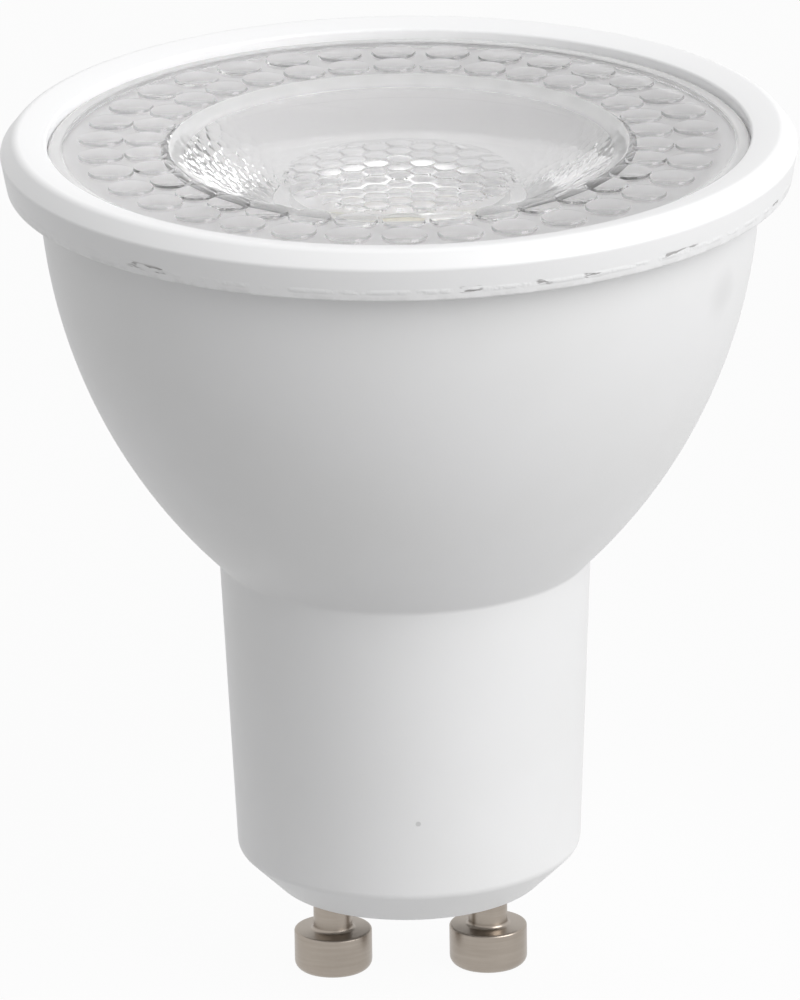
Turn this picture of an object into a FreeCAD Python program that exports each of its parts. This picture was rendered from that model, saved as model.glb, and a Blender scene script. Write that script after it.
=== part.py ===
import FreeCAD, Part
import Sketcher
import math
import os

# GU10 LED spotlight bulb, 50 mm across the rim, two headed pins on a 10 mm pitch.
# Origin: midway between the pin ends. +Z points out through the lens, the pins stand on X.

# Driving dimensions, millimetres.
sizes = {
    # contact pins
    "pin_pitch": 10.0,
    "pin_head_radius": 2.5,
    "pin_head_height": 2.7,
    "pin_head_round": 0.6,
    "pin_head_edge": 0.15,
    "pin_neck_radius": 1.25,
    "pin_waist": 3.6,
    "pin_neck_flare": 0.25,
    "pin_rivet_radius": 1.7,
    "pin_rivet_height": 0.6,
    "collar_radius": 2.3,
    "collar_thick": 0.6,
    # housing
    "base_floor": 1.8,
    "foot_margin": 1.0,
    "foot_flare": 2.5,
    "foot_chamfer": 2.45,
    "foot_round": 0.5,
    "neck_low_round": 0.8,
    "neck_taper": 0.85,
    "bell_flare": 10.95,
    "bell_height": 25.7,
    "mouth_land": 0.4,
    "housing_wall": 1.3,
    "snap_bead_rise": 0.3,
    "rail_depth": 1.6,
    "rail_thick": 1.0,
    "rail_gap": 0.45,
    # trim ring
    "ring_wall": 1.9,
    "ring_flare": 0.4,
    "ring_skirt": 0.66,
    "ring_lip": 0.8,
    "ring_cover": 0.55,
    "ring_rise": 0.4,
    "ring_crown": 1.1,
    "ring_crown_inset": 0.9,
    "ring_crown_round": 0.6,
    "ring_side_round": 0.3,
    "ring_edge_round": 0.2,
    # lens
    "lens_gap": 1.7,
    "lens_land_gap": 0.1,
    "lens_land_rise": 0.3,
    "lens_land_round": 0.2,
    "lens_flange_thick": 0.95,
    "lens_annulus_thick": 1.5,
    "annulus_width": 7.65,
    "bowl_depth": 2.25,
    "bowl_slope": 7.1,
    "bowl_wall_arc": 11.0,
    "cone_depth": 7.6,
    "cone_top_wall": 0.6,
    "cone_low_wall": 1.3,
    "cone_arc": 34.0,
    "well_inset": 0.7,
    "well_draft": 0.6,
    "well_depth": 3.2,
    "well_crown": 0.9,
    # the lens's two rows of round lenslets, and the array in its bowl
    "scale_count": 34,
    "scale_turn": 3.6,
    "scale_step": 0.12,
    "scale_height": 0.1,
    "scale_edge_gap": 0.19,
    "scale_row_gap": 0.04,
    "inner_scale_radius": 1.36,
    "outer_scale_radius": 1.44,
    "dot_turn": 27.5,
    "dot_pitch": 1.71,
    "dot_radius": 0.81,
    "dot_step": 0.1,
    "dot_height": 0.12,
    "dome_draft": 0.05,
    "dot_rings": 4,
    # heat spreader, pad and light board
    "spreader_gap": 2.5,
    "spreader_wall": 1.0,
    "spreader_top_gap": 0.3,
    "spreader_round": 0.8,
    "pad_inset": 0.4,
    "pad_thick": 0.3,
    "light_board_room": 3.4,
    "light_board_thick": 1.4,
    "light_board_notch": 1.2,
    "chip_count": 6,
    "chip_gap": 0.05,
    "chip_side": 3.0,
    "chip_thick": 0.65,
    "emitter_radius": 1.2,
    "emitter_rise": 0.1,
    "screw_inset": 2.8,
    "screw_radius": 1.2,
    "screw_tail": 0.9,
    "screw_head_radius": 2.1,
    "screw_head_height": 1.3,
    "screw_head_round": 0.5,
    "screw_socket_radius": 0.8,
    "screw_socket_depth": 0.7,
    "bushing_wall": 0.63,
    "bushing_flange_reach": 0.8,
    "bushing_flange_thick": 0.6,
    "feed_wire_radius": 0.35,
    "feed_wire_pitch": 2.54,
    "feed_wire_gap": 0.5,
    "feed_wire_rise": 0.9,
    "solder_radius": 0.9,
    "solder_height": 0.6,
    # driver board and what stands on it
    "driver_lift": 3.4,
    "driver_side_gap": 0.5,
    "driver_margin": 2.0,
    "driver_thick": 1.0,
    "driver_corner": 1.5,
    "pin_wire_lap": 4.0,
    "leg_radius": 0.3,
    "leg_tail": 1.0,
    "can_radius": 4.0,
    "can_front_gap": 0.1,
    "can_gap": 1.7,
    "can_leg_pitch": 3.5,
    "can_groove_depth": 0.3,
    "can_groove_place": 1.8,
    "can_edge": 0.4,
    "choke_radius": 3.8,
    "choke_length": 8.0,
    "choke_gap": 1.6,
    "choke_flange": 1.2,
    "choke_core_radius": 1.8,
    "choke_wire_inset": 0.4,
    "choke_leg_pitch": 5.0,
    "film_side_gap": 0.45,
    "film_depth": 4.5,
    "film_tall": 6.0,
    "film_gap": 1.1,
    "film_leg_inset": 0.7,
    "film_edge": 0.4,
    "axial_gap": 1.05,
    "axial_drop": 1.0,
    "fuse_radius": 1.3,
    "fuse_length": 6.5,
    "fuse_cap_rise": 0.15,
    "fuse_cap_length": 1.4,
    "diode_radius": 1.25,
    "diode_length": 5.0,
    "diode_band_rise": 0.05,
    "diode_band_length": 0.9,
    "axial_leg_out": 1.0,
    "bridge_width": 4.7,
    "bridge_depth": 2.3,
    "bridge_tall": 3.9,
    "bridge_gap": 0.95,
    "control_width": 4.9,
    "control_depth": 1.5,
    "control_tall": 3.9,
    "control_side_gap": 3.6,
    "control_drop": 1.5,
    "bridge_foot_pitch": 2.54,
    "control_foot_pitch": 1.27,
    "foot_width": 0.5,
    "foot_reach": 0.9,
    "foot_thick": 0.25,
    "small_width": 2.0,
    "small_tall": 1.25,
    "small_end": 0.4,
    "small_end_rise": 0.05,
    "small_resistor_depth": 0.55,
    "small_capacitor_depth": 1.1,
    "small_across": 3.6,
    "small_drop": 0.8,
    "small_pitch": 2.6,
    # clearances between pieces that fit into each other
    "pin_clearance": 0.1,
    "ring_clearance": 0.1,
    "lip_clearance": 0.05,
    "spreader_clearance": 0.15,
    "board_clearance": 0.2,
    "hole_clearance": 0.15,
}

doc = FreeCAD.newDocument("gu10_spotlight_bulb")
sheet = doc.addObject("Spreadsheet::Sheet", "Sizes")
for line, (name, number) in enumerate(sizes.items(), 1):
    sheet.set(f"A{line}", name)
    sheet.set(f"B{line}", str(number))
    sheet.setAlias(f"B{line}", name)
doc.recompute()


class Size:
    # A length kept as a formula of the named sizes, with its value in millimetres.
    def __init__(self, text, value):
        self.text = text
        self.value = value

    def join(self, sign, other, value, turned=False):
        ours, theirs = self.text, other.text
        if turned:
            ours, theirs = theirs, ours
        return Size(f"({ours} {sign} {theirs})", value)

    def __add__(self, other):
        other = length(other)
        return self.join("+", other, self.value + other.value)

    def __sub__(self, other):
        other = length(other)
        return self.join("-", other, self.value - other.value)

    def __rsub__(self, other):
        other = length(other)
        return self.join("-", other, other.value - self.value, turned=True)

    def __mul__(self, other):
        other = length(other)
        return self.join("*", other, self.value * other.value)

    def __truediv__(self, other):
        other = length(other)
        return self.join("/", other, self.value / other.value)

    def __neg__(self):
        return Size(f"(0 - {self.text})", -self.value)

    __radd__ = __add__
    __rmul__ = __mul__


def length(item):
    return item if isinstance(item, Size) else Size(repr(item), item)


def size(name):
    return Size(f"Sizes.{name}", sizes[name])


def root(item):
    return Size(f"sqrt({item.text})", math.sqrt(item.value))


def bind(thing, path, item):
    thing.setExpression(path, length(item).text)


def origin_plane(body, role):
    return next(plane for plane in body.Origin.OriginFeatures if plane.Role == role)


def new_body(label):
    body = doc.addObject("PartDesign::Body", label)
    body.Label = label
    return body


def arc_edge(start, end, radius, left):
    # The centre lies left or right of the way from start to end.
    chord = end - start
    aside = FreeCAD.Vector(-chord.y, chord.x, 0).normalize()
    aside = aside * math.sqrt(radius ** 2 - (chord.Length / 2) ** 2)
    centre = start + chord * 0.5 + (aside if left else -aside)
    first, last = (start, end) if left else (end, start)
    angles = [math.atan2(point.y - centre.y, point.x - centre.x) for point in (first, last)]
    if angles[1] < angles[0]:
        angles[1] += 2 * math.pi
    circle = Part.Circle(centre, FreeCAD.Vector(0, 0, 1), radius)
    return Part.ArcOfCircle(circle, *angles)


def place_point(sketch, geometry, point, across, up):
    # A point on an axis is tied to it, any other by its two distances from the origin.
    for kind, item, axis in (("DistanceX", across, -2), ("DistanceY", up, -1)):
        if item.value == 0:
            sketch.addConstraint(Sketcher.Constraint("PointOnObject", geometry, point, axis))
        else:
            row = sketch.addConstraint(
                Sketcher.Constraint(kind, -1, 1, geometry, point, item.value))
            bind(sketch, f"Constraints[{row}]", item)


def outline_sketch(body, name, corners, plane="XZ_Plane", axis_at=None):
    # corners: (across, up) or (across, up, arc radius to the next corner, centre on the left).
    sketch = body.newObject("Sketcher::SketchObject", name)
    sketch.AttachmentSupport = [(origin_plane(body, plane), "")]
    sketch.MapMode = "FlatFace"
    corners = [(length(corner[0]), length(corner[1])) + tuple(corner[2:]) for corner in corners]
    points = [FreeCAD.Vector(corner[0].value, corner[1].value, 0) for corner in corners]
    ends = []
    for index, corner in enumerate(corners):
        start, end = points[index], points[(index + 1) % len(points)]
        if len(corner) == 2:
            edge = sketch.addGeometry(Part.LineSegment(start, end), False)
            ends.append((edge, 1, 2))
        else:
            radius, left = corner[2:]
            edge = sketch.addGeometry(arc_edge(start, end, radius.value, left), False)
            ends.append((edge, 1, 2) if left else (edge, 2, 1))
    for index, (edge, _, last) in enumerate(ends):
        next_edge, next_first, _ = ends[(index + 1) % len(ends)]
        sketch.addConstraint(Sketcher.Constraint("Coincident", edge, last, next_edge, next_first))
    for (edge, first, _), corner in zip(ends, corners):
        place_point(sketch, edge, first, corner[0], corner[1])
    for (edge, _, _), corner in zip(ends, corners):
        if len(corner) > 2:
            row = sketch.addConstraint(Sketcher.Constraint("Radius", edge, corner[2].value))
            bind(sketch, f"Constraints[{row}]", corner[2])
    if axis_at is not None:
        low, high = (FreeCAD.Vector(axis_at.value, up, 0) for up in (1, 2))
        edge = sketch.addGeometry(Part.LineSegment(low, high), True)
        sketch.addConstraint(Sketcher.Constraint("Vertical", edge))
        for point, up in ((1, low), (2, high)):
            sketch.addConstraint(Sketcher.Constraint("DistanceY", -1, 1, edge, point, up.y))
        row = sketch.addConstraint(
            Sketcher.Constraint("DistanceX", -1, 1, edge, 1, axis_at.value))
        bind(sketch, f"Constraints[{row}]", axis_at)
    return sketch


def turn(body, name, corners, kind="Revolution", axis_at=None, swing=None):
    # swing is how far the outline's plane is turned about the Z axis, in degrees.
    sketch = outline_sketch(body, f"{name}_outline", corners, axis_at=axis_at)
    if swing is not None:
        sketch.AttachmentOffset = FreeCAD.Placement(
            FreeCAD.Vector(), FreeCAD.Rotation(FreeCAD.Vector(0, 1, 0), swing.value))
        bind(sketch, ".AttachmentOffset.Rotation.Angle", swing)
    feature = body.newObject(f"PartDesign::{kind}", name)
    feature.Profile = sketch
    feature.ReferenceAxis = (sketch, ["V_Axis" if axis_at is None else "Axis0"])
    feature.Angle = 360.0
    body.Tip = feature
    doc.recompute()
    return feature


def circle_sketch(body, name, across, radius):
    # A round outline on X, seen from above.
    sketch = body.newObject("Sketcher::SketchObject", name)
    sketch.AttachmentSupport = [(origin_plane(body, "XY_Plane"), "")]
    sketch.MapMode = "FlatFace"
    centre = FreeCAD.Vector(length(across).value, 0, 0)
    sketch.addGeometry(Part.Circle(centre, FreeCAD.Vector(0, 0, 1), radius.value), False)
    place_point(sketch, 0, 3, length(across), length(0))
    row = sketch.addConstraint(Sketcher.Constraint("Radius", 0, radius.value))
    bind(sketch, f"Constraints[{row}]", radius)
    return sketch


def drill(body, name, across, radius, low, depth):
    # A round hole from the height low upwards; it has to take material away.
    sketch = circle_sketch(body, f"{name}_outline", across, radius)
    bind(sketch, ".AttachmentOffset.Base.z", low)
    doc.recompute()
    before = body.Shape.Volume
    feature = body.newObject("PartDesign::Pocket", name)
    feature.Profile = sketch
    feature.Reversed = True
    bind(feature, "Length", depth)
    body.Tip = feature
    doc.recompute()
    if body.Shape.Volume >= before:
        raise RuntimeError(f"{name} cuts nothing")
    return feature


def around(body, name, feature, count):
    pattern = body.newObject("PartDesign::PolarPattern", name)
    pattern.Originals = [feature]
    pattern.Axis = (origin_axis(body, "Z_Axis"), [""])
    pattern.Angle = 360.0
    bind(pattern, "Occurrences", count)
    body.Tip = pattern
    doc.recompute()
    return pattern


def origin_axis(body, role):
    return next(axis for axis in body.Origin.OriginFeatures if axis.Role == role)


def rings(*circles):
    # Picks the circular edges that have one of the given (radius, height) pairs.
    def picks(edge):
        curve = edge.Curve
        return isinstance(curve, Part.Circle) and any(
            abs(curve.Radius - radius.value) < 1e-4 and abs(curve.Center.z - height.value) < 1e-4
            for radius, height in circles)
    return picks


def dress(body, name, kind, picks, amount):
    base = body.Tip
    names = [f"Edge{index}" for index, edge in enumerate(base.Shape.Edges, 1) if picks(edge)]
    if not names:
        raise RuntimeError(f"{name} finds no edge")
    feature = body.newObject(f"PartDesign::{kind}", name)
    feature.Base = (base, names)
    bind(feature, "Radius" if kind == "Fillet" else "Size", amount)
    body.Tip = feature
    doc.recompute()
    return feature


def place(thing, spot, rotation=None):
    if rotation is not None:
        thing.Placement = FreeCAD.Placement(FreeCAD.Vector(), rotation)
    for axis, item in zip("xyz", spot):
        bind(thing, f".Placement.Base.{axis}", item)
    return thing


def box(name, extent, spot):
    # extent and spot run along X, Y and Z; spot is the lowest corner.
    thing = doc.addObject("Part::Box", name)
    for side, item in zip(("Length", "Width", "Height"), extent):
        bind(thing, side, item)
    return place(thing, spot)


ALONG_BACK = FreeCAD.Rotation(FreeCAD.Vector(1, 0, 0), -90)
ALONG_FRONT = FreeCAD.Rotation(FreeCAD.Vector(1, 0, 0), 90)


def rod(name, radius, long, spot, rotation=None):
    thing = doc.addObject("Part::Cylinder", name)
    bind(thing, "Radius", radius)
    bind(thing, "Height", long)
    return place(thing, spot, rotation)


def fuse(label, things):
    whole = doc.addObject("Part::MultiFuse", label)
    whole.Shapes = things
    whole.Label = label
    return whole


def cut(label, base, tools):
    whole = doc.addObject("Part::Cut", label)
    whole.Base = base
    whole.Tool = tools[0] if len(tools) == 1 else fuse(f"{label}_tools", tools)
    whole.Label = label
    return whole


subparts = []


def keep(thing):
    subparts.append(thing)
    return thing


# Radii that several pieces share, from the pins outwards.
half_pitch = size("pin_pitch") / 2
foot_radius = half_pitch + size("pin_head_radius") + size("foot_margin")
neck_low_radius = foot_radius + size("foot_flare")
neck_top_radius = neck_low_radius + size("neck_taper")
neck_inner_radius = neck_top_radius - size("housing_wall")
mouth_radius = neck_top_radius + size("bell_flare")
bell_arc = (size("bell_flare") * size("bell_flare") + size("bell_height") * size("bell_height")) / (
    2 * size("bell_flare"))
bell_centre = mouth_radius - bell_arc
spreader_outer_arc = bell_arc - size("housing_wall") - size("spreader_clearance")
spreader_inner_arc = spreader_outer_arc - size("spreader_wall")
bore_radius = mouth_radius + size("ring_clearance")
ring_low_radius = bore_radius + size("ring_wall")
ring_radius = ring_low_radius + size("ring_flare")
ring_crown_radius = ring_radius - size("ring_crown_inset")
ring_inner_radius = mouth_radius - size("ring_cover")
lens_land_radius = ring_inner_radius - size("lens_land_gap")
bowl_radius = lens_land_radius - size("annulus_width")
bowl_disc_radius = bowl_radius - size("bowl_slope")
well_top_radius = bowl_disc_radius - size("well_inset")
well_mouth_radius = well_top_radius + size("well_draft")
cone_low_radius = well_mouth_radius + size("cone_low_wall")
cone_top_radius = bowl_radius + size("cone_top_wall")
feed_hole = size("feed_wire_radius") + size("hole_clearance")
bushing_radius = size("feed_wire_pitch") / 2 + feed_hole + size("bushing_wall")

# The driver board stands on the pins' axis; what it carries fills the neck.
board_front = size("feed_wire_radius")
board_back = board_front + size("driver_thick")
driver_width = 2 * (neck_low_radius - size("housing_wall") - size("driver_side_gap"))
film_width = 2 * (half_pitch - size("feed_wire_radius") - size("film_side_gap"))
can_reach = root(neck_inner_radius * neck_inner_radius - size("can_radius") * size("can_radius"))
can_length = can_reach - size("can_front_gap") + board_front
fuse_cap_radius = size("fuse_radius") + size("fuse_cap_rise")
axial_across = size("choke_radius") + size("axial_gap") + fuse_cap_radius

# Heights, from the pin ends up: base, driver board, light board, lens and ring.
base_height = size("pin_head_height") + size("pin_waist")
floor_top = base_height + size("base_floor")
foot_top = base_height + size("foot_chamfer")
driver_bottom = floor_top + size("driver_lift")
film_height = driver_bottom + size("film_gap") + size("film_tall") / 2
choke_height = film_height + size("film_tall") / 2 + size("choke_gap") + size("choke_radius")
can_height = choke_height + size("choke_radius") + size("can_gap") + size("can_radius")
can_top = can_height + size("can_radius")
driver_top = can_top + size("driver_margin")
axial_height = choke_height - size("axial_drop")
spreader_floor = driver_top + size("spreader_gap")
spreader_floor_top = spreader_floor + size("spreader_wall")
pad_top = spreader_floor_top + size("pad_thick")
light_board_top = pad_top + size("light_board_thick")
cone_low_height = light_board_top + size("lens_gap")
bell_top_height = cone_low_height + size("cone_depth")
crease_height = bell_top_height - size("bell_height")
mouth_top = bell_top_height + size("mouth_land")
flange_top = mouth_top + size("lens_flange_thick")
lens_top = flange_top + size("lens_land_rise")
annulus_bottom = lens_top - size("lens_annulus_thick")
bowl_disc_height = lens_top - size("bowl_depth")
well_side_height = cone_low_height + size("well_depth")
lip_bottom = flange_top + size("lip_clearance")
lip_top = lip_bottom + size("ring_lip")
ring_top = lip_top + size("ring_rise")


def bell_reach(arc, height):
    # Radius at a height of a surface that runs beside the bell's curve.
    drop = bell_top_height - height
    return bell_centre + root(arc * arc - drop * drop)


# The light board lies on the spreader's floor, clear of the rounded corner.
light_board_radius = bell_reach(spreader_inner_arc, spreader_floor_top) - size("light_board_room")
screw_circle = light_board_radius - size("screw_inset")


def make_housing():
    # Bell, neck and pin base are one moulding of even wall.
    wall = size("housing_wall")
    inner_arc = bell_arc - wall
    reach = neck_inner_radius - bell_centre
    inner_crease = bell_top_height - root(inner_arc * inner_arc - reach * reach)
    body = new_body("housing")
    turn(body, "shell", [
        (0, base_height),
        (foot_radius, base_height),
        (neck_low_radius, foot_top),
        (neck_top_radius, crease_height, bell_arc, True),
        (mouth_radius, bell_top_height),
        (mouth_radius, mouth_top),
        (mouth_radius - wall, mouth_top),
        (mouth_radius - wall, bell_top_height, inner_arc, False),
        (neck_inner_radius, inner_crease),
        (neck_low_radius - wall, foot_top + wall / 2),
        (foot_radius - wall / 2, floor_top),
        (0, floor_top),
    ])
    dress(body, "neck_round", "Fillet", rings((neck_low_radius, foot_top)),
          size("neck_low_round"))
    dress(body, "foot_round", "Fillet", rings((foot_radius, base_height)),
          size("foot_round"))
    # The trim ring snaps over a bead at the mouth.
    bead = size("snap_bead_rise")
    turn(body, "snap_bead", [
        (mouth_radius - wall / 2, bell_top_height - bead),
        (mouth_radius, bell_top_height - bead),
        (mouth_radius + bead, bell_top_height),
        (mouth_radius, bell_top_height + bead),
        (mouth_radius - wall / 2, bell_top_height + bead),
    ])
    # Two moulded rails on each side take the driver board's edges.
    rail_low = foot_top + wall / 2
    rail_end = neck_low_radius - wall / 3
    rail_start = driver_width / 2 + size("board_clearance") - size("rail_depth")
    lowest_leg = axial_height - size("fuse_length") / 2 - size("axial_leg_out") - size("leg_radius")
    clear = size("board_clearance")
    for side, across in (("right", rail_start), ("left", -rail_end)):
        for face, low in (("back", board_back + clear),
                          ("front", board_front - clear - size("rail_thick"))):
            rail = body.newObject("PartDesign::AdditiveBox", f"rail_{side}_{face}")
            bind(rail, "Length", rail_end - rail_start)
            bind(rail, "Width", size("rail_thick"))
            bind(rail, "Height", lowest_leg - size("rail_gap") - rail_low)
            place(rail, (across, low, rail_low))
            body.Tip = rail
    hole = drill(body, "pin_hole", half_pitch, size("pin_neck_radius") + size("pin_clearance"),
                 0, floor_top + size("pin_rivet_height"))
    around(body, "pin_holes", hole, 2)
    return body


def make_trim_ring():
    # White ring that covers the lens flange and snaps over the bell's mouth.
    body = new_body("trim_ring")
    bottom = bell_top_height - size("ring_skirt")
    side_top = ring_top - size("ring_crown")
    turn(body, "band", [
        (bore_radius, bottom),
        (ring_low_radius, bottom),
        (ring_radius, side_top),
        (ring_crown_radius, ring_top),
        (ring_inner_radius, lip_top),
        (ring_inner_radius, lip_bottom),
        (bore_radius, lip_bottom),
    ])
    dress(body, "crown_round", "Fillet", rings((ring_crown_radius, ring_top)),
          size("ring_crown_round"))
    dress(body, "side_round", "Fillet", rings((ring_radius, side_top)), size("ring_side_round"))
    dress(body, "edge_round", "Fillet", rings(
        (ring_inner_radius, lip_top),
        (ring_low_radius, bottom),
    ), size("ring_edge_round"))
    groove = size("snap_bead_rise") + size("ring_clearance")
    before = body.Shape.Volume
    turn(body, "snap_groove", [
        (bore_radius - groove, bell_top_height - groove),
        (bore_radius, bell_top_height - groove),
        (bore_radius + groove, bell_top_height),
        (bore_radius, bell_top_height + groove),
        (bore_radius - groove, bell_top_height + groove),
    ], kind="Groove")
    if body.Shape.Volume >= before:
        raise RuntimeError("the snap groove cuts nothing")
    return body


def cap_arc(radius, height):
    # Radius of the sphere that a cap of this radius and height is cut from.
    return (radius * radius + height * height) / (2 * height)


def dome(body, name, ring, swing, floor, radius, step, height):
    # A shallow cap on a low step in the level floor, at a distance and a turn from the axis.
    low = floor - height
    cap_radius = radius - size("dome_draft")
    return turn(body, name, [
        (ring, low),
        (ring + radius, low),
        (ring + radius, floor),
        (ring + cap_radius, floor + step, cap_arc(cap_radius, height), True),
        (ring, floor + step + height),
    ], axis_at=ring, swing=swing)


def make_lens():
    # Clear moulding: ringed annulus, bowl with a centre disc, and a light-gathering cone below.
    body = new_body("lens")
    seat_radius = mouth_radius - size("housing_wall") - size("spreader_clearance")
    crown = size("well_crown")
    land_round = size("lens_land_round")
    turn(body, "optic", [
        (0, bowl_disc_height),
        (0, well_side_height + crown, cap_arc(well_top_radius, crown), False),
        (well_top_radius, well_side_height),
        (well_mouth_radius, cone_low_height),
        (cone_low_radius, cone_low_height, size("cone_arc"), True),
        (cone_top_radius, annulus_bottom),
        (seat_radius, annulus_bottom),
        (seat_radius, mouth_top),
        (mouth_radius, mouth_top),
        (mouth_radius, flange_top),
        (lens_land_radius, flange_top),
        (lens_land_radius, lens_top - land_round, land_round, True),
        (lens_land_radius - land_round, lens_top),
        (bowl_radius, lens_top, size("bowl_wall_arc"), False),
        (bowl_disc_radius, bowl_disc_height),
    ])
    # Two rows of round lenslets, one beyond the other.
    inner_ring = bowl_radius + size("scale_edge_gap") + size("inner_scale_radius")
    outer_ring = (inner_ring + size("inner_scale_radius") + size("scale_row_gap")
                  + size("outer_scale_radius"))
    for row, ring in (("inner", inner_ring), ("outer", outer_ring)):
        scale = dome(body, f"{row}_scale", ring, size("scale_turn"), lens_top,
                     size(f"{row}_scale_radius"), size("scale_step"), size("scale_height"))
        around(body, f"{row}_scales", scale, size("scale_count"))
    # Small domes in a hexagonal array on the disc, one sixth of each ring at a time.
    dome(body, "dot_centre", length(0), size("dot_turn"), bowl_disc_height,
         size("dot_radius"), size("dot_step"), size("dot_height"))
    for ring in range(1, sizes["dot_rings"] + 1):
        for along in range(ring):
            if ring == sizes["dot_rings"] and along == 0:
                continue
            across, aside = ring - along / 2, along * math.sqrt(3) / 2
            swing = size("dot_turn") + math.degrees(math.atan2(aside, across))
            dot = dome(body, f"dot_{ring}_{along}", size("dot_pitch") * math.hypot(across, aside),
                       swing, bowl_disc_height, size("dot_radius"), size("dot_step"),
                       size("dot_height"))
            around(body, f"dots_{ring}_{along}", dot, length(6))
    return body


def make_contact_pin(label, side):
    # Turned pin: round head, waist through the base, riveted over a washer inside.
    body = new_body(label)
    rivet_low = floor_top + size("collar_thick")
    turn(body, f"{label}_shape", [
        (0, 0),
        (size("pin_head_radius"), 0),
        (size("pin_head_radius"), size("pin_head_height")),
        (size("pin_neck_radius"), size("pin_head_height")),
        (size("pin_neck_radius"), rivet_low),
        (size("pin_rivet_radius"), rivet_low),
        (size("pin_neck_radius"), rivet_low + size("pin_rivet_height")),
        (0, rivet_low + size("pin_rivet_height")),
    ])
    head_top = size("pin_head_height")
    dress(body, f"{label}_end_round", "Fillet", rings((size("pin_head_radius"), length(0))),
          size("pin_head_round"))
    dress(body, f"{label}_head_edge", "Fillet", rings((size("pin_head_radius"), head_top)),
          size("pin_head_edge"))
    dress(body, f"{label}_flare", "Fillet", rings((size("pin_neck_radius"), head_top)),
          size("pin_neck_flare"))
    return place(body, (side * half_pitch, 0, 0))


def make_pin_collar(label, side):
    spot = (side * half_pitch, 0, floor_top)
    bore = size("pin_neck_radius") + size("pin_clearance")
    washer = rod(f"{label}_disc", size("collar_radius"), size("collar_thick"), spot)
    return cut(label, washer, [rod(f"{label}_bore", bore, size("collar_thick"), spot)])


def make_pin_wire(label, side):
    # Straight lead from the riveted end up the face of the driver board.
    low = floor_top + size("collar_thick") + size("pin_rivet_height")
    return rod(label, size("feed_wire_radius"), driver_bottom + size("pin_wire_lap") - low,
               (side * half_pitch, 0, low))


def make_heat_spreader():
    # Pressed aluminium cup that lies against the bell's curve.
    body = new_body("heat_spreader")
    low = spreader_floor
    top = annulus_bottom - size("spreader_top_gap")
    outer_arc, inner_arc = spreader_outer_arc, spreader_inner_arc
    turn(body, "cup", [
        (0, low),
        (bell_reach(outer_arc, low), low, outer_arc, True),
        (bell_reach(outer_arc, top), top),
        (bell_reach(inner_arc, top), top, inner_arc, False),
        (bell_reach(inner_arc, spreader_floor_top), spreader_floor_top),
        (0, spreader_floor_top),
    ])
    dress(body, "cup_round", "Fillet", rings(
        (bell_reach(outer_arc, low), low),
        (bell_reach(inner_arc, spreader_floor_top), spreader_floor_top),
    ), size("spreader_round"))
    drill(body, "bushing_hole", 0, bushing_radius + size("hole_clearance"),
          low, size("spreader_wall"))
    hole = drill(body, "screw_hole", screw_circle,
                 size("screw_radius") + size("pin_clearance"), low, size("spreader_wall"))
    around(body, "screw_holes", hole, 2)
    return body


def screw_bores(name, low, thick):
    bore = size("screw_radius") + size("hole_clearance")
    return [rod(f"{name}_screw_bore_{side}", bore, thick, (turn * screw_circle, 0, low))
            for side, turn in (("right", 1), ("left", -1))]


def make_thermal_pad():
    low = spreader_floor_top
    disc = rod("pad_disc", light_board_radius - size("pad_inset"), size("pad_thick"), (0, 0, low))
    middle = rod("pad_middle", bushing_radius + size("hole_clearance"),
                 size("pad_thick"), (0, 0, low))
    return cut("thermal_pad", disc, [middle] + screw_bores("pad", low, size("pad_thick")))


def make_light_board():
    # Round aluminium-core board with two edge notches that line it up.
    thick = size("light_board_thick")
    disc = rod("board_disc", light_board_radius, thick, (0, 0, pad_top))
    tools = screw_bores("board", pad_top, thick)
    for index, side in enumerate((1, -1)):
        tools.append(rod(f"feed_bore_{index}", feed_hole, thick,
                         (side * size("feed_wire_pitch") / 2, 0, pad_top)))
        tools.append(rod(f"board_notch_{index}", size("light_board_notch"), thick,
                         (0, side * light_board_radius, pad_top)))
    return cut("light_board", disc, tools)


def make_light_chip(index):
    # Square package with a round emitter window, on a ring about the axis.
    angle = 2 * math.pi * (index + 0.5) / sizes["chip_count"]
    side = size("chip_side")
    nearest = size("feed_wire_pitch") / 2 + size("solder_radius") + size("chip_gap") + side / 2
    ring = nearest / math.cos(math.pi / 6)
    across = ring * math.cos(angle)
    back = ring * math.sin(angle)
    package = box(f"chip_package_{index}", (side, side, size("chip_thick")),
                  (across - side / 2, back - side / 2, light_board_top))
    window = rod(f"chip_window_{index}", size("emitter_radius"), size("emitter_rise"),
                 (across, back, light_board_top + size("chip_thick")))
    return fuse(f"light_chip_{index + 1}", [package, window])


def make_board_screw(label, side):
    body = new_body(f"{label}_blank")
    head_top = light_board_top + size("screw_head_height")
    tail = spreader_floor - size("screw_tail")
    turn(body, f"{label}_shape", [
        (0, tail),
        (size("screw_radius"), tail),
        (size("screw_radius"), light_board_top),
        (size("screw_head_radius"), light_board_top),
        (size("screw_head_radius"), head_top),
        (0, head_top),
    ])
    dress(body, f"{label}_crown", "Fillet", rings((size("screw_head_radius"), head_top)),
          size("screw_head_round"))
    spot = side * screw_circle
    place(body, (spot, 0, 0))
    socket = doc.addObject("Part::Prism", f"{label}_socket")
    socket.Polygon = 6
    bind(socket, "Circumradius", size("screw_socket_radius"))
    bind(socket, "Height", size("screw_socket_depth"))
    place(socket, (spot, 0, head_top - size("screw_socket_depth")))
    return cut(label, body, [socket])


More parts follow.
